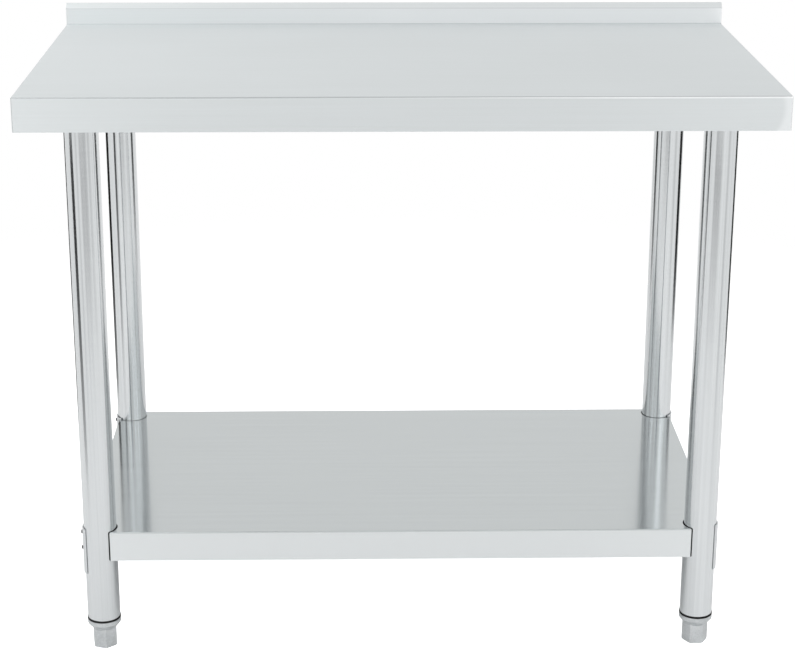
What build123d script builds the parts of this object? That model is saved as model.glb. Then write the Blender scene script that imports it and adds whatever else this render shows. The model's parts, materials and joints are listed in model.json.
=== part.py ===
from build123d import *
import math
import os

# Stainless work table: folded worktop with a rear upstand, four round legs,
# a height-adjustable undershelf clamped to the legs, and screw feet.
# Millimetres. Origin on the floor under the middle of the table,
# +X along the length, +Y towards the upstand, +Z up.

# ---- driving dimensions ----
LENGTH = 1100.0
DEPTH = 600.0
TOP_HEIGHT = 880.0
SKIRT = 50.0
TOP_LIP = 14.0
TOP_GAUGE = 1.2
TOP_BEND_R = 2.0

UPSTAND_HEIGHT = 34.0
UPSTAND_DEPTH = 12.0
UPSTAND_SLANT = 8.0

LEG_X = 462.0
LEG_Y = 238.0
LEG_R = 25.0
LEG_WALL = 1.2

HAT_HEIGHT = 15.0
HAT_FLANGE = 18.0
HAT_GAUGE = 1.2
CROSS_WEB = 94.0
CENTRE_WEB = 60.0
CHANNEL_END_GAP = 2.0

SOCKET_PLATE = 88.0
SOCKET_PLATE_T = 3.0
SOCKET_PLATE_CORNER_R = 8.0
SOCKET_WALL = 2.5
SOCKET_CLEARANCE = 0.2
SOCKET_BOTTOM = 832.0
LEG_TOP_GAP = 1.0
SOCKET_SCREW_SPREAD = 30.0

PLATE_SCREW_PITCH = 70.0
PLATE_SCREW_R = 2.5
PLATE_SCREW_REACH = 8.0
PLATE_SCREW_HEAD_R = 5.0
PLATE_SCREW_HEAD_H = 3.2
PLATE_SCREW_DOME_R = 1.6
PLATE_SCREW_CROSS = 6.4
PLATE_SCREW_CROSS_WIDTH = 1.2

SET_SCREW_R = 3.0
SET_SCREW_RECESS_CORNERS = 3.45
SET_SCREW_RECESS_DEPTH = 2.2
SET_SCREW_TIP_GAP = 0.05
SOCKET_SCREW_LENGTH = 6.0

SHELF_HEIGHT = 197.0
SHELF_HALF_X = 484.0
SHELF_HALF_Y = 259.0
SHELF_SKIRT = 47.0
SHELF_LIP = 12.0
SHELF_GAUGE = 1.0
SHELF_BEND_R = 1.5
NOTCH_GAP = 1.2
NOTCH_CORNER = 40.0

SADDLE_CLEARANCE = 0.3
SADDLE_WALL = 2.0
SADDLE_TOP = 200.0
SADDLE_BOTTOM = 126.0
SADDLE_TAIL = 5.0
SADDLE_SEAM = 0.5
SADDLE_FREE_ANGLE = 37.0
SADDLE_EDGE_R = 1.4
SADDLE_REACH = 60.0
SADDLE_SCREW_HEIGHTS = (164.5, 190.5)
SCREW_PROUD_LEFT = 1.6
SCREW_PROUD_RIGHT = -0.2

INSERT_FLANGE_R = 25.6
INSERT_FLANGE_T = 3.0
INSERT_DEPTH = 34.0
INSERT_BASE_T = 4.0
INSERT_WALL = 2.0
INSERT_BOSS_R = 14.0
INSERT_RIBS = 6
INSERT_RIB_T = 2.0
INSERT_PRESS_GAP = 0.05
INSERT_BORE_GAP = 0.4
INSERT_STEP = 2.0

FOOT_HEIGHT = 46.0
FOOT_HEX_HEIGHT = 29.0
FOOT_HEX_CORNERS = 40.0
FOOT_RING_HEIGHT = 6.4
FOOT_RING_R = 25.6
FOOT_REST_GAP = 0.2
FOOT_EDGE = 1.2
FOOT_RING_EDGE_R = 0.8
FOOT_BORE_BOTTOM = 16.0

STUD_R = 6.0
STUD_TOP = 96.0
STUD_CHAMFER = 1.0
STUD_END_GAP = 1.0
THREAD_CLEARANCE = 0.05
SCREW_HOLE_CLEARANCE = 0.1
NUT_ACROSS_FLATS = 18.0
NUT_POCKET_CLEARANCE = 0.1
NUT_HEIGHT = 10.0
NUT_BOTTOM = 56.0

# How far a cutting solid passes the surface that it opens.
OVERCUT = 1.0

# Corner name: side of X, side of Y, turn of its hexagonal foot in degrees.
CORNERS = {
    "front_left": (-1, -1, 40.0),
    "front_right": (1, -1, 0.0),
    "rear_left": (-1, 1, 15.0),
    "rear_right": (1, 1, 48.0),
}

# ---- derived sizes ----
HALF_X = LENGTH / 2
HALF_Y = DEPTH / 2
UPSTAND_FACE = HALF_Y - UPSTAND_DEPTH
TOP_UNDERSIDE = TOP_HEIGHT - TOP_GAUGE
HAT_BOTTOM = TOP_UNDERSIDE - HAT_HEIGHT
PLATE_BOTTOM = HAT_BOTTOM - SOCKET_PLATE_T
LEG_BOTTOM = FOOT_HEIGHT + INSERT_FLANGE_T
LEG_TOP = PLATE_BOTTOM - LEG_TOP_GAP
LEG_INNER_R = LEG_R - LEG_WALL
SOCKET_R = LEG_R + SOCKET_CLEARANCE + SOCKET_WALL
SADDLE_INNER_R = LEG_R + SADDLE_CLEARANCE
SADDLE_OUTER_R = SADDLE_INNER_R + SADDLE_WALL
NOTCH_R = LEG_R + NOTCH_GAP
SHELF_BOTTOM = SHELF_HEIGHT - SHELF_SKIRT
SHELF_UNDERSIDE = SHELF_HEIGHT - SHELF_GAUGE
SOCKET_SCREW_Z = (SOCKET_BOTTOM + PLATE_BOTTOM) / 2
INSERT_TOP = LEG_BOTTOM + INSERT_DEPTH
INSERT_R = LEG_INNER_R - INSERT_PRESS_GAP
HEX_FLAT_TO_CORNER = 1 / math.cos(math.radians(30))

written = []


def block(x0, x1, y0, y1, z0, z1):
    """A rectangular solid between two corners."""
    middle = ((x0 + x1) / 2, (y0 + y1) / 2, (z0 + z1) / 2)
    return Pos(*middle) * Box(abs(x1 - x0), abs(y1 - y0), abs(z1 - z0))


def upright(radius, z0, z1, x=0.0, y=0.0):
    """A cylinder standing at x, y."""
    return Pos(x, y, (z0 + z1) / 2) * Cylinder(radius, z1 - z0)


def pipe(outer, inner, z0, z1, x=0.0, y=0.0):
    """A straight tube standing at x, y."""
    bore = upright(inner, z0 - OVERCUT, z1 + OVERCUT, x, y)
    return upright(outer, z0, z1, x, y) - bore


def lying(radius, x0, x1, y, z):
    """A cylinder along X."""
    return Pos((x0 + x1) / 2, y, z) * Rot(0, 90, 0) * Cylinder(radius, abs(x1 - x0))


def hexagon(across_corners, z0, z1, x=0.0, y=0.0, turn=0.0):
    """A hexagonal bar standing at x, y, with a corner along +X before it is turned."""
    outline = RegularPolygon(across_corners / 2, 6)
    return Pos(x, y, z0) * Rot(0, 0, turn) * extrude(outline, z1 - z0)


def along_x(points, x0, x1):
    """A closed (y, z) outline carried from x0 to x1."""
    face = make_face(Polyline(*[(x0, y, z) for y, z in points], close=True))
    return extrude(face, amount=x1 - x0, dir=(1, 0, 0))


def as_group(solids):
    """Separate solids that share one node."""
    return Compound(children=list(solids))


def save(name, shape):
    """Write one sub-part to its own file."""
    export_step(shape, os.path.join("parts", name + ".step"))
    written.append(name)


# ---- worktop ----
def bent_block(half_x, y0, y1, z0, z1, radius):
    """A block whose front, left and right top edges and front corners are bends."""
    solid = block(-half_x, half_x, y0, y1, z0, z1)
    top_edges = solid.faces().sort_by(Axis.Z)[-1].edges()
    folded = [edge for edge in top_edges if edge.center().Y < y1 - radius]
    front_corners = solid.edges().filter_by(Axis.Z).filter_by(lambda edge: edge.center().Y < y0 + radius)
    return fillet(folded + list(front_corners), radius)


def upstand_outline(inset, foot_z):
    """Outline of the upstand's closed section, inset by the sheet's thickness."""
    corner = inset * math.tan(math.radians(22.5))
    face_y = UPSTAND_FACE + inset
    back_y = HALF_Y - inset
    knee_z = TOP_HEIGHT + UPSTAND_HEIGHT - UPSTAND_SLANT - corner
    crest_z = TOP_HEIGHT + UPSTAND_HEIGHT - inset
    crest_y = UPSTAND_FACE + UPSTAND_SLANT + corner
    return [(face_y, foot_z), (face_y, knee_z), (crest_y, crest_z), (back_y, crest_z), (back_y, foot_z)]


def worktop():
    """Top, skirts, return lips and hollow upstand, all one folded sheet."""
    bottom = TOP_HEIGHT - SKIRT
    front = bent_block(HALF_X, -HALF_Y, UPSTAND_FACE, bottom, TOP_HEIGHT, TOP_BEND_R)
    rear = block(-HALF_X, HALF_X, UPSTAND_FACE, HALF_Y, bottom, TOP_HEIGHT)
    sheet_end = HALF_X - TOP_GAUGE
    upstand = along_x(upstand_outline(0.0, bottom + TOP_GAUGE), -sheet_end, sheet_end)
    inner_x = HALF_X - TOP_GAUGE
    inner_y = HALF_Y - TOP_GAUGE
    pocket = block(-inner_x, inner_x, -inner_y, inner_y, bottom + TOP_GAUGE, TOP_UNDERSIDE)
    mouth_x = HALF_X - TOP_LIP
    mouth_y = HALF_Y - TOP_LIP
    mouth = block(-mouth_x, mouth_x, -mouth_y, mouth_y, bottom - OVERCUT, bottom + TOP_GAUGE + OVERCUT)
    hollow = along_x(upstand_outline(TOP_GAUGE, bottom + TOP_GAUGE), -sheet_end, sheet_end)
    return (front + rear + upstand) - pocket - mouth - hollow


def upstand_end_cap(side):
    """Plate that closes one end of the upstand."""
    inner = side * (HALF_X - TOP_GAUGE)
    return along_x(upstand_outline(0.0, TOP_HEIGHT), inner, side * HALF_X)


# ---- channels ----
def hat_outline(web, top):
    """Hat section, its flanges against the sheet above and its web at the bottom."""
    half_web = web / 2
    half_all = half_web + HAT_FLANGE
    inner_web = half_web - HAT_GAUGE
    bottom = top - HAT_HEIGHT
    return [
        (-half_all, top),
        (-inner_web, top),
        (-inner_web, bottom + HAT_GAUGE),
        (inner_web, bottom + HAT_GAUGE),
        (inner_web, top),
        (half_all, top),
        (half_all, top - HAT_GAUGE),
        (half_web, top - HAT_GAUGE),
        (half_web, bottom),
        (-half_web, bottom),
        (-half_web, top - HAT_GAUGE),
        (-half_all, top - HAT_GAUGE),
    ]


def hat_channel(web, half_length, top):
    """Hat channel along X, centred on the Z axis."""
    return along_x(hat_outline(web, top), -half_length, half_length)


def cross_channel(side):
    """Channel along Y over one pair of legs."""
    half_length = HALF_Y - TOP_LIP - CHANNEL_END_GAP
    return Pos(side * LEG_X, 0, 0) * Rot(0, 0, 90) * hat_channel(CROSS_WEB, half_length, TOP_UNDERSIDE)


def centre_channel():
    """Channel along X between the two cross channels."""
    reach = LEG_X - CROSS_WEB / 2 - HAT_FLANGE - CHANNEL_END_GAP
    return hat_channel(CENTRE_WEB, reach, TOP_UNDERSIDE)


# ---- leg sockets ----
def plate_screw_places(x, y):
    """The four screw positions of a socket plate."""
    half = PLATE_SCREW_PITCH / 2
    return [(x + sx * half, y + sy * half) for sx in (-1, 1) for sy in (-1, 1)]


def set_screw(x, y, z, side, reach_in, reach_out, turn=0.0):
    """Grub screw with a hexagonal recess, its tip reach_in from the leg's axis."""
    body = lying(SET_SCREW_R, side * reach_in, side * reach_out, 0, 0)
    recess = hexagon(SET_SCREW_RECESS_CORNERS, 0, SET_SCREW_RECESS_DEPTH)
    recess = Pos(side * reach_out, 0, 0) * Rot(0, -90 * side, 0) * recess
    return Pos(x, y, z) * Rot(0, 0, turn) * (body - recess)


def set_screw_hole(side=1):
    """Cutter for a set screw's hole through the wall round a leg."""
    depth = SADDLE_WALL + SADDLE_TAIL
    return lying(SET_SCREW_R + THREAD_CLEARANCE, side * (LEG_R - OVERCUT), side * (LEG_R + depth), 0, 0)


def leg_socket(sx, sy):
    """Square plate with a sleeve that takes the leg's top."""
    x, y = sx * LEG_X, sy * LEG_Y
    half = SOCKET_PLATE / 2
    plate = block(x - half, x + half, y - half, y + half, PLATE_BOTTOM, HAT_BOTTOM)
    plate = fillet(plate.edges().filter_by(Axis.Z), SOCKET_PLATE_CORNER_R)
    sleeve = pipe(SOCKET_R, LEG_R + SOCKET_CLEARANCE, SOCKET_BOTTOM, PLATE_BOTTOM, x, y)
    socket = plate + sleeve
    for px, py in plate_screw_places(x, y):
        hole_r = PLATE_SCREW_R + SCREW_HOLE_CLEARANCE
        socket -= upright(hole_r, PLATE_BOTTOM - OVERCUT, HAT_BOTTOM + OVERCUT, px, py)
    for turn in socket_screw_turns(sx):
        socket -= Pos(x, y, SOCKET_SCREW_Z) * Rot(0, 0, turn) * set_screw_hole()
    return socket


def socket_screw_turns(sx):
    """Two set screws face inwards, either side of the table's length."""
    inward = 180.0 if sx > 0 else 0.0
    return (inward - SOCKET_SCREW_SPREAD, inward + SOCKET_SCREW_SPREAD)


def socket_set_screws():
    screws = []
    for sx, sy, _ in CORNERS.values():
        for turn in socket_screw_turns(sx):
            place = (sx * LEG_X, sy * LEG_Y, SOCKET_SCREW_Z)
            tip = LEG_R + SET_SCREW_TIP_GAP
            screws.append(set_screw(*place, 1, tip, LEG_R + SOCKET_SCREW_LENGTH, turn))
    return as_group(screws)


def plate_screw(x, y):
    """Pan-head screw up through the socket plate into the channel's web."""
    head_bottom = PLATE_BOTTOM - PLATE_SCREW_HEAD_H
    head = upright(PLATE_SCREW_HEAD_R, head_bottom, PLATE_BOTTOM, x, y)
    head = fillet(head.faces().sort_by(Axis.Z)[0].edges(), PLATE_SCREW_DOME_R)
    half_long = PLATE_SCREW_CROSS / 2
    half_wide = PLATE_SCREW_CROSS_WIDTH / 2
    low = head_bottom - OVERCUT
    high = PLATE_BOTTOM - PLATE_SCREW_HEAD_H / 2
    slot = block(x - half_long, x + half_long, y - half_wide, y + half_wide, low, high)
    cross = block(x - half_wide, x + half_wide, y - half_long, y + half_long, low, high)
    shank = upright(PLATE_SCREW_R, PLATE_BOTTOM, HAT_BOTTOM + PLATE_SCREW_REACH, x, y)
    return head + shank - slot - cross


def socket_plate_screws():
    screws = []
    for sx, sy, _ in CORNERS.values():
        for px, py in plate_screw_places(sx * LEG_X, sy * LEG_Y):
            screws.append(plate_screw(px, py))
    return as_group(screws)


def drill_web(channel, side):
    """Screw holes through a cross channel's web."""
    for sy in (-1, 1):
        for px, py in plate_screw_places(side * LEG_X, sy * LEG_Y):
            hole_r = PLATE_SCREW_R + THREAD_CLEARANCE
            channel -= upright(hole_r, HAT_BOTTOM - OVERCUT, HAT_BOTTOM + HAT_GAUGE + OVERCUT, px, py)
    return channel


# ---- legs and their inserts ----
def leg(sx, sy):
    return pipe(LEG_R, LEG_INNER_R, LEG_BOTTOM, LEG_TOP, sx * LEG_X, sy * LEG_Y)


def foot_insert():
    """Plastic plug with a flange under the tube, ribs, and a boss that holds the nut."""
    flange = upright(INSERT_FLANGE_R, FOOT_HEIGHT, LEG_BOTTOM)
    base = upright(INSERT_R, LEG_BOTTOM, LEG_BOTTOM + INSERT_BASE_T)
    sleeve = pipe(INSERT_R, INSERT_R - INSERT_WALL, LEG_BOTTOM, INSERT_TOP)
    boss_top = INSERT_TOP - INSERT_STEP
    boss = upright(INSERT_BOSS_R, LEG_BOTTOM, boss_top)
    plug = flange + base + sleeve + boss
    half_rib = INSERT_RIB_T / 2
    rib_start = INSERT_BOSS_R - half_rib
    rib_end = INSERT_R - half_rib
    rib = block(rib_start, rib_end, -half_rib, half_rib, LEG_BOTTOM, boss_top - INSERT_STEP)
    for number in range(INSERT_RIBS):
        plug += Rot(0, 0, number * 360 / INSERT_RIBS) * rib
    bore = upright(STUD_R + INSERT_BORE_GAP, FOOT_HEIGHT - OVERCUT, INSERT_TOP + OVERCUT)
    pocket = hexagon(NUT_ACROSS_FLATS * HEX_FLAT_TO_CORNER, NUT_BOTTOM, INSERT_TOP + OVERCUT)
    return plug - bore - pocket


def insert_nut():
    """Hexagonal nut in the plug's pocket, at thread clearance round the stud."""
    nut_top = NUT_BOTTOM + NUT_HEIGHT
    flats = NUT_ACROSS_FLATS - 2 * NUT_POCKET_CLEARANCE
    nut = hexagon(flats * HEX_FLAT_TO_CORNER, NUT_BOTTOM, nut_top)
    return nut - upright(STUD_R + THREAD_CLEARANCE, NUT_BOTTOM - OVERCUT, nut_top + OVERCUT)


# ---- feet ----
def foot_stud():
    stud = upright(STUD_R, FOOT_BORE_BOTTOM + STUD_END_GAP, STUD_TOP)
    return chamfer(stud.faces().sort_by(Axis.Z)[-1].edges(), STUD_CHAMFER)


def foot(turn):
    """Hexagonal spanner body, taper and round collar, bored for the stud."""
    top = FOOT_HEIGHT - FOOT_REST_GAP
    ring_bottom = top - FOOT_RING_HEIGHT
    hex_part = hexagon(FOOT_HEX_CORNERS, 0, ring_bottom, turn=turn)
    corner_r = FOOT_HEX_CORNERS / 2
    inscribed = corner_r / HEX_FLAT_TO_CORNER
    floor_r = corner_r - FOOT_EDGE
    edge_cone = Pos(0, 0, ring_bottom / 2) * Cone(floor_r, floor_r + ring_bottom, ring_bottom)
    hex_part = hex_part & edge_cone
    taper_height = ring_bottom - FOOT_HEX_HEIGHT
    taper = Pos(0, 0, FOOT_HEX_HEIGHT + taper_height / 2) * Cone(inscribed, FOOT_RING_R, taper_height)
    ring = upright(FOOT_RING_R, ring_bottom, top)
    ring = fillet(ring.faces().sort_by(Axis.Z)[-1].edges(), FOOT_RING_EDGE_R)
    body = hex_part + taper + ring
    return body - upright(STUD_R + THREAD_CLEARANCE, FOOT_BORE_BOTTOM, top + OVERCUT)


# ---- shelf ----
def saddle_zone(sx, sy):
    """Space outside a line just inside the shelf's end, which holds one leg's saddle."""
    line_x = sx * (SHELF_HALF_X - SADDLE_TAIL)
    y = sy * LEG_Y
    return block(line_x, line_x + sx * SADDLE_REACH, y - SADDLE_REACH, y + SADDLE_REACH,
                 SADDLE_BOTTOM - OVERCUT, SADDLE_TOP + OVERCUT)


def saddle_sector(sx, sy):
    """Space on the table's side of the plane at which the saddle's free end stops."""
    angle = math.radians(SADDLE_FREE_ANGLE)
    free_end = (SADDLE_REACH * math.cos(angle), SADDLE_REACH * math.sin(angle))
    corners = [(0, 0), free_end, (SADDLE_REACH, 0), (SADDLE_REACH, -SADDLE_REACH), (0, -SADDLE_REACH)]
    outline = make_face(Polyline(*[(sx * across, sy * along) for across, along in corners], close=True))
    height = SADDLE_TOP - SADDLE_BOTTOM + 2 * OVERCUT
    place = Pos(sx * LEG_X, sy * LEG_Y, SADDLE_BOTTOM - OVERCUT)
    return place * extrude(outline, amount=height, dir=(0, 0, 1))


def shelf_pan():
    """Folded pan, open underneath, with a round notch and its wall at every leg."""
    solid = block(-SHELF_HALF_X, SHELF_HALF_X, -SHELF_HALF_Y, SHELF_HALF_Y, SHELF_BOTTOM, SHELF_HEIGHT)
    solid = fillet(solid.faces().sort_by(Axis.Z)[-1].edges(), SHELF_BEND_R)
    inner_x = SHELF_HALF_X - SHELF_GAUGE
    inner_y = SHELF_HALF_Y - SHELF_GAUGE
    solid -= block(-inner_x, inner_x, -inner_y, inner_y, SHELF_BOTTOM + SHELF_GAUGE, SHELF_UNDERSIDE)
    mouth_x = SHELF_HALF_X - SHELF_LIP
    mouth_y = SHELF_HALF_Y - SHELF_LIP
    low = SHELF_BOTTOM - OVERCUT
    high = SHELF_HEIGHT + OVERCUT
    solid -= block(-mouth_x, mouth_x, -mouth_y, mouth_y, low, SHELF_BOTTOM + SHELF_GAUGE + OVERCUT)
    for sx, sy, _ in CORNERS.values():
        x, y = sx * LEG_X, sy * LEG_Y
        wall = upright(NOTCH_R + SHELF_GAUGE, SHELF_BOTTOM, SHELF_UNDERSIDE, x, y)
        corner = block(x - sx * NOTCH_CORNER, sx * inner_x, y - sy * NOTCH_CORNER, sy * inner_y, low, high)
        solid += wall & corner
        solid -= upright(NOTCH_R, low, high, x, y)
        solid -= upright(SADDLE_OUTER_R + SADDLE_SEAM, low, high, x, y) & saddle_zone(sx, sy)
        solid -= block(x, x + sx * NOTCH_CORNER, y, y + sy * NOTCH_CORNER, low, high)
    return solid


def shelf_saddle(sx, sy):
    """Curved lug round the outer side of a leg, one end tucked inside the shelf's end skirt."""
    x, y = sx * LEG_X, sy * LEG_Y
    ring = pipe(SADDLE_OUTER_R, SADDLE_INNER_R, SADDLE_BOTTOM, SADDLE_TOP, x, y)
    saddle = ring & saddle_zone(sx, sy) & saddle_sector(sx, sy)
    free_edges = [edge for edge in saddle.edges().filter_by(Axis.Z) if sy * (edge.center().Y - y) > 0]
    outer_edge = max(free_edges, key=lambda edge: abs(edge.center().X - x))
    saddle = fillet(outer_edge, SADDLE_EDGE_R)
    for height in SADDLE_SCREW_HEIGHTS:
        saddle -= Pos(x, y, height) * set_screw_hole(sx)
    return saddle


def saddle_set_screws():
    """Two screws in each saddle, facing the table's ends."""
    screws = []
    for sx, sy, _ in CORNERS.values():
        proud = SCREW_PROUD_LEFT if sx < 0 else SCREW_PROUD_RIGHT
        for height in SADDLE_SCREW_HEIGHTS:
            place = (sx * LEG_X, sy * LEG_Y, height)
            screws.append(set_screw(*place, sx, SADDLE_INNER_R, SADDLE_OUTER_R + proud))
    return as_group(screws)


def shelf_channel():
    reach = SHELF_HALF_X - SHELF_LIP - CHANNEL_END_GAP
    return hat_channel(CENTRE_WEB, reach, SHELF_UNDERSIDE)


# ---- build ----
os.makedirs("parts", exist_ok=True)

save("worktop", worktop())
save("centre_channel", centre_channel())
for side_name, side in (("left", -1), ("right", 1)):
    save("upstand_end_cap_" + side_name, upstand_end_cap(side))
    save("cross_channel_" + side_name, drill_web(cross_channel(side), side))
save("socket_set_screws", socket_set_screws())
save("socket_plate_screws", socket_plate_screws())
save("shelf_pan", shelf_pan())
save("shelf_channel", shelf_channel())
save("saddle_set_screws", saddle_set_screws())

nuts = []
for corner_name, (sx, sy, turn) in CORNERS.items():
    place = Pos(sx * LEG_X, sy * LEG_Y, 0)
    nuts.append(place * insert_nut())
    save("leg_socket_" + corner_name, leg_socket(sx, sy))
    save("leg_" + corner_name, leg(sx, sy))
    save("foot_insert_" + corner_name, place * foot_insert())
    save("foot_stud_" + corner_name, place * foot_stud())
    save("foot_" + corner_name, place * foot(turn))
    save("shelf_saddle_" + corner_name, shelf_saddle(sx, sy))
save("foot_insert_nuts", as_group(nuts))

print(len(written), "nodes written")
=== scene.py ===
import json
import math

import bmesh
import bpy
from mathutils import Matrix, Vector


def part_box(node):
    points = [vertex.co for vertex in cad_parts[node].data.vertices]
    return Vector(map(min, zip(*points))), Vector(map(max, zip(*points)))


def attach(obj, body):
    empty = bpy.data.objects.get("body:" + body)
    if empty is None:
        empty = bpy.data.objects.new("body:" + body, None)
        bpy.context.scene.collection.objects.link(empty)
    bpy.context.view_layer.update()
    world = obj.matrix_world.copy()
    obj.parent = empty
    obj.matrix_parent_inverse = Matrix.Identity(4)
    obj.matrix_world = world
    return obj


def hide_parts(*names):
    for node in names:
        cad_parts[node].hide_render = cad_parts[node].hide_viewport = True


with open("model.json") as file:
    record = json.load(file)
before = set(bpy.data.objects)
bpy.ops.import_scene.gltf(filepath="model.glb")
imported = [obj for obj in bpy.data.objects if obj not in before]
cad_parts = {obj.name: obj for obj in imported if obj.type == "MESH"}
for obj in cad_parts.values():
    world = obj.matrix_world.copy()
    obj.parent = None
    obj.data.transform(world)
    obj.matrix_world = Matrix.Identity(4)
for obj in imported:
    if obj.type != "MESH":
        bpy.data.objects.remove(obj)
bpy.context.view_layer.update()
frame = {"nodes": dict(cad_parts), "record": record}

NODES = frame["nodes"]
CORNERS = ("front_left", "front_right", "rear_left", "rear_right")

# ---- camera ----
CAMERA_PLACE = (-0.0684, -3.0753, 1.4691)
CAMERA_YAW = 0.0219
CAMERA_PITCH = 0.3216
CAMERA_ROLL = -0.0024
FOCAL_IN_WIDTHS = 2.5288
SENSOR = 36.0

# ---- studio ----
FLOOR_SOLID_RADIUS = 0.75
FLOOR_FADE_RADIUS = 2.3
FLOOR_HALF = 3.0
# Darker gaps between the studio's white panels: bearing from the front in degrees,
# half-width of the core, half-width with its soft edge, and depth.
STUDIO_GAPS = (
    (52.0, 2.0, 11.0, 0.22),
    (-33.0, 1.0, 8.0, 0.17),
    (-141.0, 3.0, 8.0, 0.30),
)
# Softboxes and dark flags above the horizon, which the shelf's mirror image of the legs shows:
# bearing, half-width of the core, half-width with its edge, and added brightness.
SOFTBOXES = (
    (42.0, 18.0, 24.0, 1.3),
    (-12.0, 3.0, 5.0, 0.5),
    (-38.0, 4.0, 6.0, 0.4),
    (-5.0, 1.5, 3.5, -0.8),
    (-28.0, 1.5, 3.5, -0.8),
    (-53.0, 2.0, 5.0, -0.8),
    (112.0, 14.0, 30.0, -0.20),
    (-110.0, 14.0, 34.0, -0.25),
)
# Rises of a direction, from -1 straight down to 1 straight up, between which each band fades.
SOFTBOX_RISE = (0.345, 0.365)
SOFTBOX_TOP = (0.43, 0.46)
# Studio cards that only reflections see: name, centre, width, height, brightness at the
# floor, brightness above the fade, the height at which the fade ends, and the soft end's length.
CARDS = (
    ("black_card_left", (-1.197, -0.54), 0.33, 0.67, 0.55, 0.01, 0.42, 0.02),
    ("black_card_right", (1.494, 0.62), 0.74, 0.65, 0.25, 0.01, 0.12, 0.02),
    ("black_card_rear", (-0.99, 0.68), 0.60, 0.72, 0.30, 0.01, 0.30, 0.02),
    ("grey_card_front", (-0.05, -1.80), 1.80, 0.50, 0.92, 0.50, 0.34, 0.40),
)
# Brightness added in front of the table near the horizon, and the brightness behind it. The
# facings are cosines of the bearing from the front between which each of them fades.
FRONT_BOOST = 0.98
FRONT_FACING = (0.78, 0.92)
FRONT_TOP = (0.14, 0.24)
REAR_LEVEL = 0.88
REAR_FACING = (-0.6, -0.1)
HORIZON_RISE = (-0.04, 0.06)
OVERHEAD_RISE = (0.35, 0.75)
FLOOR_COLOUR = (0.86, 0.86, 0.86)
FLOOR_ROUGHNESS = 0.9
FLOOR_GLOW = 0.08
FLOOR_GLOW_SEEN = 0.80
WHITE = (1.0, 1.0, 1.0)
# Area lights, which aim at the middle of the table: name, place, size and power.
LIGHT_TARGET = (0.0, 0.0, 0.5)
LIGHTS = (
    ("key_softbox", (-1.6, -1.8, 3.0), (2.0, 2.0), 22.0),
    ("fill_softbox", (2.2, -1.2, 2.4), (1.6, 1.6), 10.0),
)

# ---- what materials and details need to know of the shape, in metres ----
LEG_X = 0.462
LEG_Y = 0.238
# The notches' radius, the width of the painted shade line that stands in for the gap round each leg, and
# its share at the rear left and right.
NOTCH_R = 0.0262
NOTCH_SHADE_WIDTH = 0.0004
REAR_NOTCH_SHADE_SHARES = (0.0, 0.5)
SIDE_SPLIT_X = 0.1
SHEET_T = 0.0012
WORKTOP_TALL = 0.084
HAT_GAUGE = 0.0012
SOCKET_PLATE_T = 0.003
SOCKET_SLEEVE_R = 0.0277
TOP_Z = 0.880
UPSTAND_Y = 0.288
UPSTAND_BACK_Y = (0.298, 0.299)
UPSTAND_FOLD_Z = 0.906
BEND_START_X = 0.5482
BEND_START_Y = -0.2982
LINE_SHIFT_X = 0.30
LINE_SOFT = 0.0003
# Each painted line along the top's folds, a painted dark reflection and a painted highlight, at the left
# and at the right: depth below the top, half-width, and share of its colour.
BEND_PAINTED_DARK_LINE = ((0.0010, 0.0003), (0.0006, 0.0004), (0.55, 0.38))
BEND_PAINTED_HIGHLIGHT = ((0.0004, 0.0019), (0.0001, 0.0010), (0.0, 0.50))
# The painted shade in the crease under the upstand, the painted light that makes the upstand's right part
# and its slant paler, and the painted shade line at the fold between.
CREASE_RISE = 0.0009
CREASE_REACH = 0.0009
CREASE_SHADE_SHARE = 0.12
UPSTAND_PAINTED_LIGHT_SHARE = 0.75
UPSTAND_PAINTED_LIGHT_FADE_X = (-0.50, 0.0)
FOLD_HALF = 0.0004
FOLD_SHADE_SHARE = 0.22
SLANT_PAINTED_LIGHT_SHARE = 0.45
# The painted highlight on the front skirt's right corner: where it starts, its soft edge and its bow.
CORNER_HIGHLIGHT_X = 0.534
CORNER_HIGHLIGHT_Z = 0.862
CORNER_HIGHLIGHT_SOFT = 0.011
CORNER_HIGHLIGHT_BOW = 9.0
CORNER_HIGHLIGHT_SHARE = 0.5
# Colour of the painted shade lines along the top's bends, the crease and the upstand's fold.
PAINTED_SHADE_LINE_COLOUR = (0.22, 0.23, 0.24)
# Colour of the painted highlight along the top's bends.
PAINTED_HIGHLIGHT_COLOUR = (0.97, 0.98, 0.98)
# Colour of the painted light on the upstand, the skirt's right corner and the shelf's skirt.
PAINTED_LIGHT_COLOUR = (0.84, 0.86, 0.87)
# Colour of the painted shade in the gaps between the shelf's notches and the legs.
NOTCH_PAINTED_SHADE_COLOUR = (0.012, 0.012, 0.013)
NOTCH_SHADE_ROUGH = 0.4
# Heights, just under the shelf's top, between which the painted light that makes its skirt paler ends.
SHELF_FOLD_Z = (0.194, 0.195)
SHELF_SKIRT_PAINTED_LIGHT_SHARE = 0.50
SHELF_SKIRT_ROUGH = 0.15

# ---- textures: how often each repeats in a metre, along X, Y and Z where they differ ----
FINE_GRAIN = (5.0, 1400.0, 1400.0)
MIDDLE_GRAIN = (2.5, 260.0, 260.0)
SMEAR = (2.2, 5.0, 5.0)
SCUFFS = (60.0, 420.0, 420.0)
TUBE_RINGS = (8.0, 8.0, 900.0)
TUBE_CLOUD = (14.0, 14.0, 4.0)
DRAW_LINES = (420.0, 420.0, 1.2)
SPANGLE = 90.0
ZINC_GRAIN = 700.0
CAST_GRIT = 900.0
CAST_CLOUD = 45.0
# The span that holds most of a noise texture's values, and the part of it that is a scuff.
NOISE_SPAN = (0.3, 0.7)
SCUFF_SPAN = (0.70, 0.80)
SCUFF_ROUGH = 0.03
# Steepness towards X beyond which a face is an end face.
END_FACING = 0.7
BUMP_REACH = 0.0003
TUBE_BUMP_REACH = 0.0002

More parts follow.
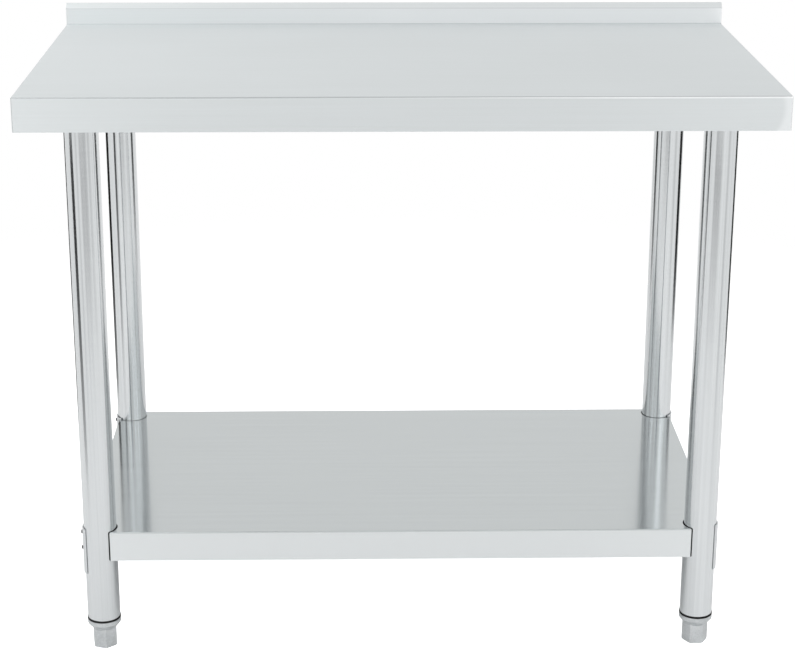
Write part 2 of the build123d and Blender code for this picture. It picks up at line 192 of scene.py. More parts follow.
# ---- detail sizes, in metres ----
THREAD_PITCH = 0.00175
THREAD_ROWS = 8
THREAD_SIDES = 32
THREAD_DEPTH = 0.0009
THREAD_LEAD_IN = 0.001
THREAD_FLANK = 1.25
THREAD_CREST = 0.12
STRAIGHT_STEP = 0.00055
CIRCLE_STEP = 0.0008
BEAD_SIDES = 8
BEAD_RIPPLE = 0.16
BEAD_RIPPLE_LENGTH = 0.0022
BEAD_END_SHARE = 0.45
SOCKET_WELD_R = 0.0016
SOCKET_WELD_SHIFT = SOCKET_WELD_R / 3
SADDLE_WELD_R = 0.0014
SADDLE_WELD_SHIFT_X = SADDLE_WELD_R * 0.2
SADDLE_WELD_SHIFT_Y = SADDLE_WELD_R * 0.6
# Start and end of each short bead, above the bottom of the shelf's skirt.
SADDLE_WELD_RUNS = ((0.004, 0.018), (0.028, 0.042))
CORNER_WELD_R = 0.0012
CORNER_WELD_INSET = SHEET_T + CORNER_WELD_R * 0.4
CORNER_WELD_RISE = 0.046
SPOT_R = 0.003
SPOT_DEPTH = 0.0004
SPOT_SINK = SPOT_DEPTH * 0.1
SPOT_SIDES = 20
SPOT_PITCH = 0.075
SPOT_INSET = 0.009
# Reach and drop of a spot weld's raised ring, as shares of its radius and depth.
SPOT_PROFILE = ((1.0, 0.0), (0.86, 0.8), (0.70, 1.0), (0.52, 0.55))


# ---- node helpers ----
def add_node(tree, kind, inputs=None, **settings):
    """Make one shader node, set its options, and set or link its inputs."""
    made = tree.nodes.new(kind)
    for key, value in settings.items():
        setattr(made, key, value)
    for key, value in (inputs or {}).items():
        if isinstance(value, bpy.types.NodeSocket):
            tree.links.new(value, made.inputs[key])
        else:
            made.inputs[key].default_value = value
    return made


def maths(tree, operation, first, second=0.0):
    return add_node(tree, "ShaderNodeMath", {0: first, 1: second}, operation=operation).outputs[0]


def weighted(tree, *pairs):
    """Sum of values, each times its weight."""
    total = None
    for value, weight in pairs:
        part = maths(tree, "MULTIPLY", value, weight)
        total = part if total is None else maths(tree, "ADD", total, part)
    return total


def vector_maths(tree, operation, first, second=None, output=0):
    inputs = {0: first} if second is None else {0: first, 1: second}
    return add_node(tree, "ShaderNodeVectorMath", inputs, operation=operation).outputs[output]


def split(tree, vector):
    """The X, Y and Z of a vector."""
    axes = add_node(tree, "ShaderNodeSeparateXYZ", {"Vector": vector})
    return axes.outputs["X"], axes.outputs["Y"], axes.outputs["Z"]


def remap(tree, value, low, high, to_low=0.0, to_high=1.0, kind="LINEAR"):
    inputs = {"Value": value, "From Min": low, "From Max": high, "To Min": to_low, "To Max": to_high}
    return add_node(tree, "ShaderNodeMapRange", inputs, interpolation_type=kind).outputs["Result"]


def noise(tree, vector, scale, detail, roughness):
    inputs = {"Vector": vector, "Scale": scale, "Detail": detail, "Roughness": roughness}
    return add_node(tree, "ShaderNodeTexNoise", inputs).outputs[0]


def stretched(tree, vector, scale):
    return add_node(tree, "ShaderNodeMapping", {"Vector": vector, "Scale": scale}).outputs[0]


def tinted(tree, factor, first, second):
    """Mix of two colours, each a tuple or another node's output."""
    mixed = add_node(tree, "ShaderNodeMix", {0: factor}, data_type="RGBA")
    for index, colour in ((6, first), (7, second)):
        if isinstance(colour, bpy.types.NodeSocket):
            tree.links.new(colour, mixed.inputs[index])
        else:
            mixed.inputs[index].default_value = (*colour, 1.0)
    return mixed.outputs[2]


def new_material(name):
    """A node material and its principled shader."""
    material = bpy.data.materials.new(name)
    material.use_nodes = True
    return material, material.node_tree, material.node_tree.nodes["Principled BSDF"]


def object_place(tree):
    return add_node(tree, "ShaderNodeTexCoord").outputs["Object"]


def connect(tree, source, target):
    tree.links.new(source, target)


def add_bump(tree, shader, strength, distance, height):
    inputs = {"Strength": strength, "Distance": distance, "Height": height}
    connect(tree, add_node(tree, "ShaderNodeBump", inputs).outputs[0], shader.inputs["Normal"])


# ---- materials ----
def sheet_place(tree):
    """Object place for grain along X; on end faces the grain follows the fold down Z."""
    place = object_place(tree)
    normal = add_node(tree, "ShaderNodeNewGeometry").outputs["Normal"]
    on_end = maths(tree, "GREATER_THAN", maths(tree, "ABSOLUTE", split(tree, normal)[0]), END_FACING)
    across, along, height = split(tree, place)
    turned = add_node(tree, "ShaderNodeCombineXYZ", {"X": height, "Y": along, "Z": across})
    mixed = add_node(tree, "ShaderNodeMix", {0: on_end, 4: place, 5: turned.outputs[0]}, data_type="VECTOR")
    return mixed.outputs[1], normal


def across_grain(tree, normal):
    """Direction across the grain, in which brushed sheet spreads its reflections."""
    cross = vector_maths(tree, "CROSS_PRODUCT", normal, (1.0, 0.0, 0.0))
    return vector_maths(tree, "NORMALIZE", vector_maths(tree, "ADD", cross, (0.0, 0.001, 0.0)))


def notch_painted_shade(tree):
    """One inside the round notches at the legs, where a dark line of painted shade stands in for the gap
    between the sheet and the leg.
    """
    place = object_place(tree)
    away = vector_maths(tree, "SUBTRACT", vector_maths(tree, "ABSOLUTE", place), (LEG_X, LEG_Y, 0.0))
    level = vector_maths(tree, "MULTIPLY", away, (1.0, 1.0, 0.0))
    reach = vector_maths(tree, "LENGTH", level, output="Value")
    near = remap(tree, reach, NOTCH_R + NOTCH_SHADE_WIDTH, NOTCH_R + 2 * NOTCH_SHADE_WIDTH, 1.0, 0.0)
    across, along, _ = split(tree, place)
    at_rear = remap(tree, across, -SIDE_SPLIT_X, SIDE_SPLIT_X, *REAR_NOTCH_SHADE_SHARES)
    is_rear = maths(tree, "GREATER_THAN", along, 0.0)
    share = add_node(tree, "ShaderNodeMix", {0: is_rear, 2: 1.0, 3: at_rear}, data_type="FLOAT").outputs[0]
    return maths(tree, "MULTIPLY", near, share)


def front_face(tree, along):
    """One on the worktop's front face, forward of where the fold starts."""
    return remap(tree, along, BEND_START_Y - LINE_SOFT, BEND_START_Y, 1.0, 0.0)


def bend_painted_lines(tree):
    """Painted dark reflection and painted highlight, drawn as lines along the top's folded front and end
    edges.
    """
    across, along, height = split(tree, object_place(tree))
    ends = remap(tree, maths(tree, "ABSOLUTE", across), BEND_START_X, BEND_START_X + LINE_SOFT)
    on_bend = maths(tree, "MAXIMUM", ends, front_face(tree, along))
    depth = maths(tree, "SUBTRACT", TOP_Z, height)
    lines = []
    for depths, halves, shares in (BEND_PAINTED_DARK_LINE, BEND_PAINTED_HIGHLIGHT):
        middle, half, share = [remap(tree, across, -LINE_SHIFT_X, LINE_SHIFT_X, *pair)
                               for pair in (depths, halves, shares)]
        off = maths(tree, "ABSOLUTE", maths(tree, "SUBTRACT", depth, middle))
        line = remap(tree, maths(tree, "SUBTRACT", off, half), 0.0, LINE_SOFT, 1.0, 0.0)
        lines.append(maths(tree, "MULTIPLY", maths(tree, "MULTIPLY", line, share), on_bend))
    return lines


def crease_painted_shade(tree):
    """Painted shade: a dark line in the fold between the top and the upstand."""
    _, along, height = split(tree, object_place(tree))
    low = remap(tree, height, TOP_Z + CREASE_RISE, TOP_Z + CREASE_RISE + LINE_SOFT, 1.0, 0.0)
    near = remap(tree, along, UPSTAND_Y - CREASE_REACH - LINE_SOFT, UPSTAND_Y - CREASE_REACH)
    return maths(tree, "MULTIPLY", low, near)


def corner_painted_highlight(tree):
    """Painted highlight: a rounded paler patch at the front skirt's right end, where its rounded corner
    catches the light.
    """
    place = vector_maths(tree, "SUBTRACT", object_place(tree), (CORNER_HIGHLIGHT_X, 0.0, CORNER_HIGHLIGHT_Z))
    across, along, rise = split(tree, place)
    bulge = maths(tree, "MULTIPLY", maths(tree, "MULTIPLY", rise, rise), CORNER_HIGHLIGHT_BOW)
    reach = remap(tree, maths(tree, "ADD", across, bulge), 0.0, CORNER_HIGHLIGHT_SOFT, kind="SMOOTHSTEP")
    return maths(tree, "MULTIPLY", reach, front_face(tree, along))


def worktop_painted_light(tree, colour):
    """The worktop's colour with painted dark reflections and highlights along its bends, painted shade in
    the crease and at the upstand's fold, painted light on the upstand's right part, and a painted highlight
    at the skirt's right corner.
    """
    across, along, height = split(tree, object_place(tree))
    above_top = remap(tree, height, TOP_Z + 0.5 * CREASE_RISE, TOP_Z + CREASE_RISE)
    below_slant = remap(tree, height, UPSTAND_FOLD_Z, UPSTAND_FOLD_Z + FOLD_HALF, 1.0, SLANT_PAINTED_LIGHT_SHARE)
    in_front = remap(tree, along, *UPSTAND_BACK_Y, 1.0, 0.0)
    on_upstand = maths(tree, "MULTIPLY", maths(tree, "MULTIPLY", above_top, below_slant), in_front)
    # Painted light: the upstand's right part and, less, its slant are made paler.
    share = remap(tree, across, *UPSTAND_PAINTED_LIGHT_FADE_X, 0.0, UPSTAND_PAINTED_LIGHT_SHARE)
    colour = tinted(tree, maths(tree, "MULTIPLY", on_upstand, share), colour, PAINTED_LIGHT_COLOUR)
    # Painted shade: a dark line at the upstand's fold.
    off_fold = maths(tree, "ABSOLUTE", maths(tree, "SUBTRACT", height, UPSTAND_FOLD_Z))
    fold = remap(tree, off_fold, FOLD_HALF, FOLD_HALF + LINE_SOFT, FOLD_SHADE_SHARE, 0.0)
    colour = tinted(tree, maths(tree, "MULTIPLY", fold, in_front), colour, PAINTED_SHADE_LINE_COLOUR)
    # Painted highlight at the front skirt's right corner.
    colour = tinted(tree, maths(tree, "MULTIPLY", corner_painted_highlight(tree), CORNER_HIGHLIGHT_SHARE), colour, PAINTED_LIGHT_COLOUR)
    # Painted highlight and painted dark reflection along the top's bends.
    dark, bright = bend_painted_lines(tree)
    colour = tinted(tree, bright, colour, PAINTED_HIGHLIGHT_COLOUR)
    colour = tinted(tree, dark, colour, PAINTED_SHADE_LINE_COLOUR)
    # Painted shade in the crease under the upstand.
    return tinted(tree, maths(tree, "MULTIPLY", crease_painted_shade(tree), CREASE_SHADE_SHARE), colour, PAINTED_SHADE_LINE_COLOUR)


def brushed_sheet(name, dark, light, roughness, anisotropy, notched=False, edged=False):
    """Stainless sheet: long grain at three scales, faint smears and scuffs."""
    material, tree, shader = new_material(name)
    place, normal = sheet_place(tree)
    fine = noise(tree, stretched(tree, place, FINE_GRAIN), 1.0, 3.0, 0.6)
    middle = noise(tree, stretched(tree, place, MIDDLE_GRAIN), 1.0, 2.0, 0.5)
    smear = noise(tree, stretched(tree, place, SMEAR), 1.0, 3.0, 0.6)
    scuffs = noise(tree, stretched(tree, place, SCUFFS), 1.0, 1.0, 0.5)
    scuff_mask = remap(tree, scuffs, *SCUFF_SPAN)
    grain = weighted(tree, (fine, 0.45), (middle, 0.55))
    tone = weighted(tree, (grain, 0.7), (smear, 0.3))
    colour = tinted(tree, remap(tree, tone, 0.33, 0.67), dark, light)
    rough = remap(tree, grain, *NOISE_SPAN, roughness - 0.02, roughness + 0.02)
    rough = maths(tree, "ADD", rough, remap(tree, smear, *NOISE_SPAN, -0.01, 0.01))
    rough = maths(tree, "ADD", rough, maths(tree, "MULTIPLY", scuff_mask, SCUFF_ROUGH))
    if edged:
        # The worktop gets painted highlights, painted shade lines and painted light.
        colour = worktop_painted_light(tree, colour)
    if notched:
        height = split(tree, object_place(tree))[2]
        # Painted light: the shelf's skirt is made paler, and it is also made rougher.
        on_skirt = remap(tree, height, *SHELF_FOLD_Z, SHELF_SKIRT_PAINTED_LIGHT_SHARE, 0.0)
        colour = tinted(tree, on_skirt, colour, PAINTED_LIGHT_COLOUR)
        rough = maths(tree, "ADD", rough, maths(tree, "MULTIPLY", on_skirt, SHELF_SKIRT_ROUGH))
        # Painted shade: a dark line in the gap between each notch and its leg.
        notch_shade = notch_painted_shade(tree)
        colour = tinted(tree, notch_shade, colour, NOTCH_PAINTED_SHADE_COLOUR)
        rough = maths(tree, "ADD", rough, maths(tree, "MULTIPLY", notch_shade, NOTCH_SHADE_ROUGH))
    connect(tree, colour, shader.inputs["Base Color"])
    connect(tree, rough, shader.inputs["Roughness"])
    add_bump(tree, shader, 0.02, BUMP_REACH, grain)
    connect(tree, across_grain(tree, normal), shader.inputs["Tangent"])
    shader.inputs["Metallic"].default_value = 1.0
    shader.inputs["Anisotropic"].default_value = anisotropy
    return material


def polished_tube(name, dark, light, roughness, anisotropy):
    """Stainless tube, polished round its girth, so reflections smear along its length."""
    material, tree, shader = new_material(name)
    place = object_place(tree)
    rings = noise(tree, stretched(tree, place, TUBE_RINGS), 1.0, 2.0, 0.6)
    cloud = noise(tree, stretched(tree, place, TUBE_CLOUD), 1.0, 3.0, 0.6)
    draw_lines = noise(tree, stretched(tree, place, DRAW_LINES), 1.0, 2.0, 0.5)
    tone = weighted(tree, (rings, 0.15), (cloud, 0.35), (draw_lines, 0.50))
    connect(tree, tinted(tree, remap(tree, tone, 0.34, 0.66), dark, light), shader.inputs["Base Color"])
    rough = remap(tree, rings, *NOISE_SPAN, roughness - 0.01, roughness + 0.01)
    rough = maths(tree, "ADD", rough, remap(tree, cloud, *NOISE_SPAN, -0.02, 0.02))
    connect(tree, rough, shader.inputs["Roughness"])
    add_bump(tree, shader, 0.004, TUBE_BUMP_REACH, draw_lines)
    tangent = add_node(tree, "ShaderNodeCombineXYZ", {"X": 0.0, "Y": 0.0, "Z": 1.0})
    connect(tree, tangent.outputs[0], shader.inputs["Tangent"])
    shader.inputs["Metallic"].default_value = 1.0
    shader.inputs["Anisotropic"].default_value = anisotropy
    return material


def galvanised(name, dark, light):
    """Hot-dip zinc with its crystal spangle."""
    material, tree, shader = new_material(name)
    place = object_place(tree)
    cells = add_node(tree, "ShaderNodeTexVoronoi", {"Vector": place, "Scale": SPANGLE, "Randomness": 1.0})
    cell_tone = add_node(tree, "ShaderNodeSeparateColor", {"Color": cells.outputs["Color"]}).outputs[0]
    fine = noise(tree, place, ZINC_GRAIN, 3.0, 0.6)
    tone = weighted(tree, (cell_tone, 0.7), (fine, 0.3))
    connect(tree, tinted(tree, tone, dark, light), shader.inputs["Base Color"])
    connect(tree, remap(tree, tone, 0.0, 1.0, 0.34, 0.55), shader.inputs["Roughness"])
    add_bump(tree, shader, 0.08, BUMP_REACH, tone)
    shader.inputs["Metallic"].default_value = 1.0
    return material


def cast_metal(name, dark, light, roughness, metallic=1.0, specular=0.5, grit=CAST_GRIT, bump_strength=0.1):
    """Fine-grained satin surface of cast, plated and blackened metal, and of moulded plastic."""
    material, tree, shader = new_material(name)
    place = object_place(tree)
    grain = noise(tree, place, grit, 4.0, 0.6)
    cloud = noise(tree, place, CAST_CLOUD, 3.0, 0.6)
    tone = weighted(tree, (grain, 0.5), (cloud, 0.5))
    connect(tree, tinted(tree, remap(tree, tone, 0.35, 0.65), dark, light), shader.inputs["Base Color"])
    rough = remap(tree, tone, *NOISE_SPAN, roughness - 0.06, roughness + 0.06)
    connect(tree, rough, shader.inputs["Roughness"])
    add_bump(tree, shader, bump_strength, BUMP_REACH, grain)
    shader.inputs["Metallic"].default_value = metallic
    shader.inputs["Specular IOR Level"].default_value = specular
    return material


# Each material's two tones, its roughness and, for sheet and tube, its anisotropy.
MATERIALS = {
    "stainless_sheet": brushed_sheet("stainless_sheet", (0.635, 0.664, 0.669), (0.673, 0.702, 0.711),
                                     0.40, 0.85, edged=True),
    "shelf_sheet": brushed_sheet("shelf_sheet", (0.575, 0.605, 0.61), (0.625, 0.655, 0.66),
                                 0.15, 1.0, notched=True),
    "stainless_tube": polished_tube("stainless_tube", (0.61, 0.63, 0.64), (0.70, 0.72, 0.73), 0.15, 0.92),
    "saddle_steel": polished_tube("saddle_steel", (0.58, 0.60, 0.61), (0.68, 0.70, 0.71), 0.30, 0.6),
    "galvanised": galvanised("galvanised", (0.38, 0.40, 0.42), (0.66, 0.68, 0.70)),
    "socket_steel": cast_metal("socket_steel", (0.46, 0.47, 0.48), (0.60, 0.61, 0.62), 0.38),
    "zinc_steel": cast_metal("zinc_steel", (0.52, 0.53, 0.54), (0.68, 0.69, 0.70), 0.30),
    "black_steel": cast_metal("black_steel", (0.012, 0.012, 0.013), (0.035, 0.035, 0.038), 0.45, 0.6),
    "foot_metal": cast_metal("foot_metal", (0.46, 0.48, 0.49), (0.64, 0.66, 0.67), 0.36,
                             grit=420.0, bump_strength=0.25),
    "black_plastic": cast_metal("black_plastic", (0.006, 0.006, 0.006), (0.02, 0.02, 0.02), 0.6,
                                metallic=0.0, specular=0.12),
}


def dress_cad():
    """Give every CAD node the detailed material of its slot."""
    for entry in frame["record"]["subparts"]:
        node = NODES[entry["node"]]
        slot = entry["material_slot"]
        name = "shelf_sheet" if entry["node"] == "shelf_pan" else slot
        node.data.materials.clear()
        node.data.materials.append(MATERIALS[name])


# ---- detail pieces ----
def mesh_piece(name, build, body, slot):
    """Fill a smooth mesh with a bmesh function and ride it on a body."""
    mesh = bpy.data.meshes.new(name)
    shape = bmesh.new()
    build(shape)
    bmesh.ops.recalc_face_normals(shape, faces=shape.faces)
    shape.to_mesh(mesh)
    shape.free()
    for polygon in mesh.polygons:
        polygon.use_smooth = True
    piece = bpy.data.objects.new(name, mesh)
    bpy.context.scene.collection.objects.link(piece)
    mesh.materials.append(MATERIALS[slot])
    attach(piece, body)
    return piece


def join_rings(shape, rings, closed=False):
    """Faces between successive rings of points, with the two ends filled unless closed."""
    for number in range(len(rings) if closed else len(rings) - 1):
        low, high = rings[number], rings[(number + 1) % len(rings)]
        for index in range(len(low)):
            after = (index + 1) % len(low)
            shape.faces.new((low[index], low[after], high[after], high[index]))
    if not closed:
        shape.faces.new(rings[0])
        shape.faces.new(rings[-1])


def add_bead(shape, points, radius, closed=False):
    """A weld bead along points, its girth rippled by each puddle of the weld."""
    path = [Vector(point) for point in points]
    rings = []
    travelled = 0.0
    for number, here in enumerate(path):
        before = path[number - 1] if number or closed else here
        after = path[(number + 1) % len(path)] if closed or number < len(path) - 1 else here
        along = (after - before).normalized()
        travelled += (here - before).length
        girth = radius * (1.0 + BEAD_RIPPLE * math.sin(math.tau * travelled / BEAD_RIPPLE_LENGTH))
        if not closed and number in (0, len(path) - 1):
            girth = radius * BEAD_END_SHARE
        upright = abs(along.z) > 0.9
        first = along.orthogonal() if upright else along.cross(Vector((0, 0, 1)))
        first.normalize()
        second = along.cross(first)
        ring = []
        for side in range(BEAD_SIDES):
            turn = math.tau * side / BEAD_SIDES
            ring.append(shape.verts.new(here + girth * (math.cos(turn) * first + math.sin(turn) * second)))
        rings.append(ring)
    join_rings(shape, rings, closed)


def straight(start, end):
    """Points from start to end, close enough together for a bead's ripples."""
    start, end = Vector(start), Vector(end)
    count = max(2, int((end - start).length / STRAIGHT_STEP))
    return [start.lerp(end, number / count) for number in range(count + 1)]


def circle_points(count, radius, height=0.0):
    turns = [math.tau * number / count for number in range(count)]
    return [Vector((math.cos(turn) * radius, math.sin(turn) * radius, height)) for turn in turns]


def circle(centre, radius):
    """Points round a level circle, close enough together for a bead's ripples."""
    count = int(math.tau * radius / CIRCLE_STEP)
    return [Vector(centre) + point for point in circle_points(count, radius)]


def build_thread(name, node, body):
    """Threaded stud in place of its plain cylinder, a helical 60 degree thread with a lead-in."""
    low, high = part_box(node)
    centre_x = (low[0] + high[0]) / 2
    centre_y = (low[1] + high[1]) / 2
    crest = (high[0] - low[0]) / 2
    rows = int((high[2] - low[2]) / THREAD_PITCH * THREAD_ROWS)

    def fill(shape):
        rings = []
        for row in range(rows + 1):
            height = low[2] + (high[2] - low[2]) * row / rows
            limit = crest - max(0.0, THREAD_LEAD_IN - (high[2] - height))
            ring = []
            for side in range(THREAD_SIDES):
                turn = math.tau * side / THREAD_SIDES
                phase = (height / THREAD_PITCH - side / THREAD_SIDES) % 1.0
                slope = abs(2.0 * phase - 1.0) * THREAD_FLANK - THREAD_CREST
                depth = THREAD_DEPTH * min(1.0, max(0.0, slope))
                radius = min(crest - depth, limit)
                place = (centre_x + radius * math.cos(turn), centre_y + radius * math.sin(turn), height)
                ring.append(shape.verts.new(place))
            rings.append(ring)
        join_rings(shape, rings)

    piece = mesh_piece(name, fill, body, "zinc_steel")
    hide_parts(node)


def signs(corner):
    """Side of X and side of Y of a corner's name."""
    return (-1 if "left" in corner else 1), (-1 if "front" in corner else 1)


def build_socket_welds():
    """Bead round every leg socket's sleeve, under its plate."""
    def fill(shape):
        for corner in CORNERS:
            low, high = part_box("leg_socket_" + corner)
            level = high[2] - SOCKET_PLATE_T - SOCKET_WELD_SHIFT
            centre = ((low[0] + high[0]) / 2, (low[1] + high[1]) / 2, level)
            path = circle(centre, SOCKET_SLEEVE_R + SOCKET_WELD_SHIFT)
            add_bead(shape, path, SOCKET_WELD_R, closed=True)
    mesh_piece("leg_socket_welds", fill, "frame", "socket_steel")


def build_saddle_welds():
    """Short beads that hold each saddle's tail to the shelf's notch wall."""
    def fill(shape):
        pan_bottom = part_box("shelf_pan")[0][2]
        for corner in CORNERS:
            side_x, side_y = signs(corner)
            low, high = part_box("shelf_saddle_" + corner)
            inner_x = low[0] if side_x > 0 else high[0]
            tail_y = low[1] if side_y > 0 else high[1]
            place_x = inner_x - side_x * SADDLE_WELD_SHIFT_X
            place_y = tail_y + side_y * SADDLE_WELD_SHIFT_Y
            for start, end in SADDLE_WELD_RUNS:
                bottom = (place_x, place_y, pan_bottom + start)
                top = (place_x, place_y, pan_bottom + end)
                add_bead(shape, straight(bottom, top), SADDLE_WELD_R)
    mesh_piece("shelf_saddle_welds", fill, "shelf", "saddle_steel")


def build_corner_welds():
    """Beads inside the worktop's mitred skirt corners."""
    def fill(shape):
        low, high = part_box("worktop")
        bottom = high[2] - WORKTOP_TALL + SHEET_T
        for side_x in (-1, 1):
            inner_x = side_x * (high[0] - CORNER_WELD_INSET)
            for inner_y in (low[1] + CORNER_WELD_INSET, high[1] - CORNER_WELD_INSET):
                start = (inner_x, inner_y, bottom + CORNER_WELD_R)
                end = (inner_x, inner_y, bottom + CORNER_WELD_RISE)
                add_bead(shape, straight(start, end), CORNER_WELD_R)
    mesh_piece("worktop_corner_welds", fill, "frame", "stainless_sheet")


def add_spot(shape, centre):
    """Shallow raised ring with a dished middle, left by a spot-welding tip on an underside."""
    rings = []
    for reach, drop in SPOT_PROFILE:
        points = circle_points(SPOT_SIDES, reach * SPOT_R, -drop * SPOT_DEPTH)
        rings.append([shape.verts.new(Vector(centre) + point) for point in points])
    join_rings(shape, rings)


def build_spot_welds(name, nodes, body):
    """Rows of spot welds along both flanges of hat channels."""
    def fill(shape):
        for node, length_axis in nodes:
            low, high = Vector(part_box(node)[0]), Vector(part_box(node)[1])
            across_axis = 1 - length_axis
            top = high.z - HAT_GAUGE
            count = max(2, round((high[length_axis] - low[length_axis]) / SPOT_PITCH))
            for number in range(count):
                along = low[length_axis] + (high[length_axis] - low[length_axis]) * (number + 0.5) / count
                for across in (low[across_axis] + SPOT_INSET, high[across_axis] - SPOT_INSET):
                    centre = [0.0, 0.0, top + SPOT_SINK]
                    centre[length_axis] = along
                    centre[across_axis] = across
                    add_spot(shape, centre)
    mesh_piece(name, fill, body, "galvanised")


def build_details():
    for corner in CORNERS:
        build_thread("foot_thread_" + corner, "foot_stud_" + corner, "stud_" + corner)
    build_socket_welds()
    build_saddle_welds()
    build_corner_welds()
    cross = [("cross_channel_left", 1), ("cross_channel_right", 1), ("centre_channel", 0)]
    build_spot_welds("top_channel_spot_welds", cross, "frame")
    build_spot_welds("shelf_channel_spot_welds", [("shelf_channel", 0)], "shelf")


# ---- stage, light and camera ----
def facing_level(tree, level, bearing):
    """Cosine of the angle between a level direction and a bearing from the front."""
    angle = math.radians(bearing)
    towards = (math.sin(angle), -math.cos(angle), 0.0)
    return vector_maths(tree, "DOT_PRODUCT", level, towards, output="Value")


def panel(tree, level, bearing, core, edge, outside, inside):
    """A value inside a band of bearings and another outside it, with a smooth edge."""
    facing = facing_level(tree, level, bearing)
    return remap(tree, facing, math.cos(math.radians(edge)), math.cos(math.radians(core)),
                 outside, inside, "SMOOTHSTEP")


def studio_brightness(tree):
    """Brightness of the studio by direction: white panels, gaps, softboxes, front and rear walls."""
    direction = add_node(tree, "ShaderNodeTexCoord").outputs["Generated"]
    flat = vector_maths(tree, "MULTIPLY", direction, (1.0, 1.0, 0.0))
    level = vector_maths(tree, "NORMALIZE", flat)
    height = split(tree, direction)[2]
    brightness = 1.0
    for bearing, core, edge, depth in STUDIO_GAPS:
        shade = panel(tree, level, bearing, core, edge, 1.0, 1.0 - depth)
        brightness = maths(tree, "MULTIPLY", shade, brightness)
    raised = maths(tree, "MULTIPLY", remap(tree, height, *SOFTBOX_RISE, 0.0, 1.0, "SMOOTHSTEP"),
                   remap(tree, height, *SOFTBOX_TOP, 1.0, 0.0, "SMOOTHSTEP"))
    for bearing, core, edge, gain in SOFTBOXES:
        box = panel(tree, level, bearing, core, edge, 0.0, gain)
        brightness = maths(tree, "ADD", brightness, maths(tree, "MULTIPLY", box, raised))
    facing = facing_level(tree, level, 0.0)
    above = remap(tree, height, *HORIZON_RISE, 0.0, 1.0, "SMOOTHSTEP")
    low_band = maths(tree, "MULTIPLY", above, remap(tree, height, *FRONT_TOP, 1.0, 0.0, "SMOOTHSTEP"))
    front = maths(tree, "MULTIPLY", low_band, remap(tree, facing, *FRONT_FACING, 0.0, FRONT_BOOST))
    rear = maths(tree, "MULTIPLY", above, remap(tree, facing, *REAR_FACING, REAR_LEVEL - 1.0, 0.0))
    brightness = maths(tree, "ADD", brightness, maths(tree, "ADD", front, rear))
    overhead = remap(tree, height, *OVERHEAD_RISE, 0.0, 1.0, "SMOOTHSTEP")
    return add_node(tree, "ShaderNodeMix", {"Factor": overhead, "A": brightness, "B": 1.0},
                    data_type="FLOAT").outputs["Result"]


def build_world():
    """Studio that the metal reflects, behind a plain white that the camera sees."""
    world = bpy.data.worlds.new("studio")
    world.use_nodes = True
    bpy.context.scene.world = world
    tree = world.node_tree
    tree.nodes.clear()
    brightness = studio_brightness(tree)
    studio = add_node(tree, "ShaderNodeBackground", {"Color": (*WHITE, 1.0), "Strength": brightness})
    white = add_node(tree, "ShaderNodeBackground", {"Color": (*WHITE, 1.0), "Strength": 1.0})
    seen = add_node(tree, "ShaderNodeLightPath").outputs["Is Camera Ray"]
    mixed = add_node(tree, "ShaderNodeMixShader", {0: seen, 1: studio.outputs[0], 2: white.outputs[0]})
    add_node(tree, "ShaderNodeOutputWorld", {"Surface": mixed.outputs[0]})


def build_floor():
    """Pale floor, solid under the table, fading out far from it and not seen from below."""
    bpy.ops.mesh.primitive_plane_add(size=2 * FLOOR_HALF, location=(0.0, 0.0, 0.0))
    floor = bpy.context.active_object
    floor.name = "studio_floor"
    material, tree, shader = new_material("floor_paper")
    reach = vector_maths(tree, "LENGTH", object_place(tree), output="Value")
    fade = remap(tree, reach, FLOOR_SOLID_RADIUS, FLOOR_FADE_RADIUS, 1.0, 0.0, "SMOOTHSTEP")
    shader.inputs["Base Color"].default_value = (*FLOOR_COLOUR, 1.0)
    shader.inputs["Roughness"].default_value = FLOOR_ROUGHNESS
    shader.inputs["Specular IOR Level"].default_value = 0.0
    shader.inputs["Emission Color"].default_value = (*WHITE, 1.0)
    seen = add_node(tree, "ShaderNodeLightPath").outputs["Is Camera Ray"]
    glow = remap(tree, seen, 0.0, 1.0, FLOOR_GLOW, FLOOR_GLOW_SEEN)
    connect(tree, glow, shader.inputs["Emission Strength"])
    backfacing = add_node(tree, "ShaderNodeNewGeometry").outputs["Backfacing"]
    from_above = remap(tree, backfacing, 0.0, 1.0, 1.0, 0.0)
    connect(tree, maths(tree, "MULTIPLY", fade, from_above), shader.inputs["Alpha"])
    floor.data.materials.append(material)


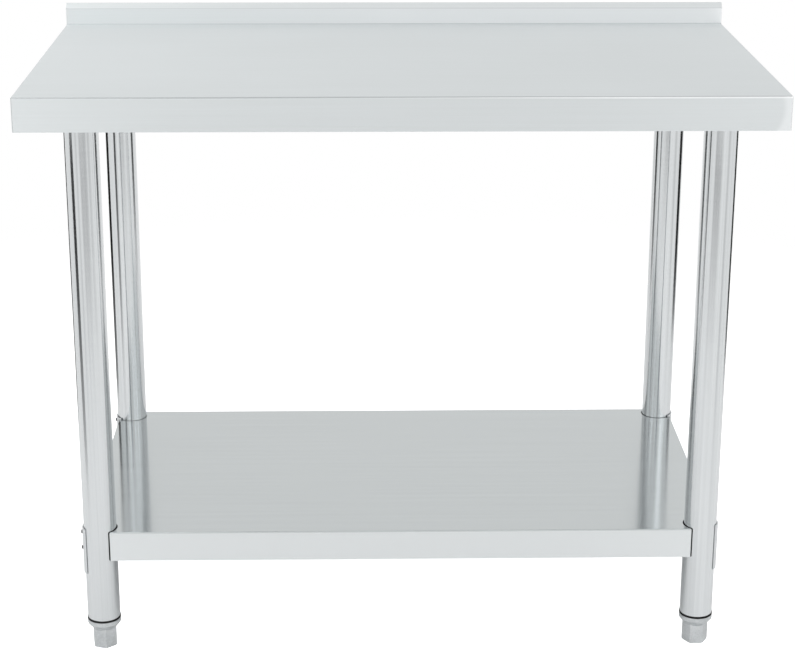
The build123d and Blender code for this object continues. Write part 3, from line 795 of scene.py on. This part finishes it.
def build_card(name, centre, width, height, floor_level, upper_level, fade_top, end_fade):
    """Upright card facing the table, seen in its polished metal but not by the camera."""
    away = Vector((centre[0], centre[1], 0.0))
    along = Vector((-away.y, away.x, 0.0)).normalized()
    side = along * (width / 2)
    rise = Vector((0.0, 0.0, height))
    mesh = bpy.data.meshes.new(name)
    mesh.from_pydata([away - side, away + side, away + side + rise, away - side + rise], [], [(0, 1, 2, 3)])
    card = bpy.data.objects.new(name, mesh)
    bpy.context.scene.collection.objects.link(card)
    material, tree, shader = new_material(name)
    place = object_place(tree)
    level = remap(tree, split(tree, place)[2], 0.0, fade_top, floor_level, upper_level)
    from_middle = vector_maths(tree, "SUBTRACT", place, away)
    off = vector_maths(tree, "DOT_PRODUCT", from_middle, along, output="Value")
    at_end = remap(tree, maths(tree, "ABSOLUTE", off), width / 2 - end_fade, width / 2)
    level = add_node(tree, "ShaderNodeMix", {0: at_end, 2: level, 3: 1.0}, data_type="FLOAT").outputs[0]
    glow = add_node(tree, "ShaderNodeEmission", {"Color": (*WHITE, 1.0), "Strength": level})
    output = tree.nodes["Material Output"]
    connect(tree, glow.outputs[0], output.inputs["Surface"])
    tree.nodes.remove(shader)
    mesh.materials.append(material)
    card.visible_camera = False
    card.visible_diffuse = False
    card.visible_shadow = False


def area_light(name, place, size, power):
    """Rectangular light aimed at the middle of the table."""
    data = bpy.data.lights.new(name, "AREA")
    data.shape = "RECTANGLE"
    data.size, data.size_y = size
    data.energy = power
    light = bpy.data.objects.new(name, data)
    light.location = place
    aim = Vector(LIGHT_TARGET) - Vector(place)
    light.rotation_euler = aim.to_track_quat("-Z", "Y").to_euler()
    bpy.context.scene.collection.objects.link(light)


def build_camera():
    """Camera at the viewing angle of a long lens in front of the table and above it."""
    data = bpy.data.cameras.new("photo_camera")
    data.sensor_width = SENSOR
    data.lens = FOCAL_IN_WIDTHS * SENSOR
    camera = bpy.data.objects.new("photo_camera", data)
    bpy.context.scene.collection.objects.link(camera)
    forward = Vector((math.sin(CAMERA_YAW) * math.cos(CAMERA_PITCH),
                      math.cos(CAMERA_YAW) * math.cos(CAMERA_PITCH), -math.sin(CAMERA_PITCH)))
    right = Vector((math.cos(CAMERA_YAW), -math.sin(CAMERA_YAW), 0.0))
    down = forward.cross(right)
    rolled_right = math.cos(CAMERA_ROLL) * right + math.sin(CAMERA_ROLL) * down
    rolled_down = math.cos(CAMERA_ROLL) * down - math.sin(CAMERA_ROLL) * right
    turn = Matrix((rolled_right, -rolled_down, -forward)).transposed()
    camera.matrix_world = Matrix.Translation(CAMERA_PLACE) @ turn.to_4x4()
    bpy.context.scene.camera = camera


dress_cad()
build_details()
build_world()
build_floor()
for card_facts in CARDS:
    build_card(*card_facts)
for light_facts in LIGHTS:
    area_light(*light_facts)
build_camera()
bpy.context.scene.view_settings.view_transform = "Standard"
